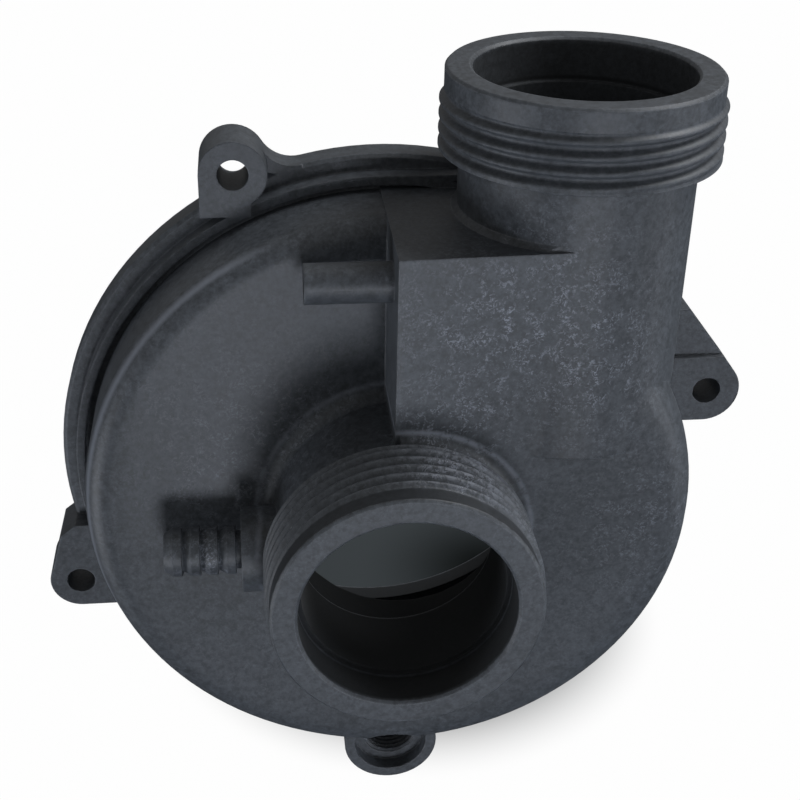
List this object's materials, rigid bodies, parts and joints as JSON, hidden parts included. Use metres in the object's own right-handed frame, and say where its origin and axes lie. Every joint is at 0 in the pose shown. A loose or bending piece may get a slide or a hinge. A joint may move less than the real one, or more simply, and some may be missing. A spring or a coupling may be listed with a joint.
{
  "type": "volute pump casing",
  "caption": "Spiral wet-end casing for a centrifugal pump: round screw flange, ramped volute face, threaded suction port in front and threaded discharge port on top.",
  "frame": {"origin": "middle of the flat mounting face, on the pump axis, where the casing meets the pump's seal plate", "axes": "-Y along the pump axis towards the suction port, +Z towards the discharge port, +X to the right seen from the suction side"},
  "size_m": [0.1725, 0.0797, 0.1883],
  "materials": {
    "casing": "fine matte texture with a faint sheen"
  },
  "bodies": {
    "root": {"volute_casing": "casing"}
  },
  "joints": []
}
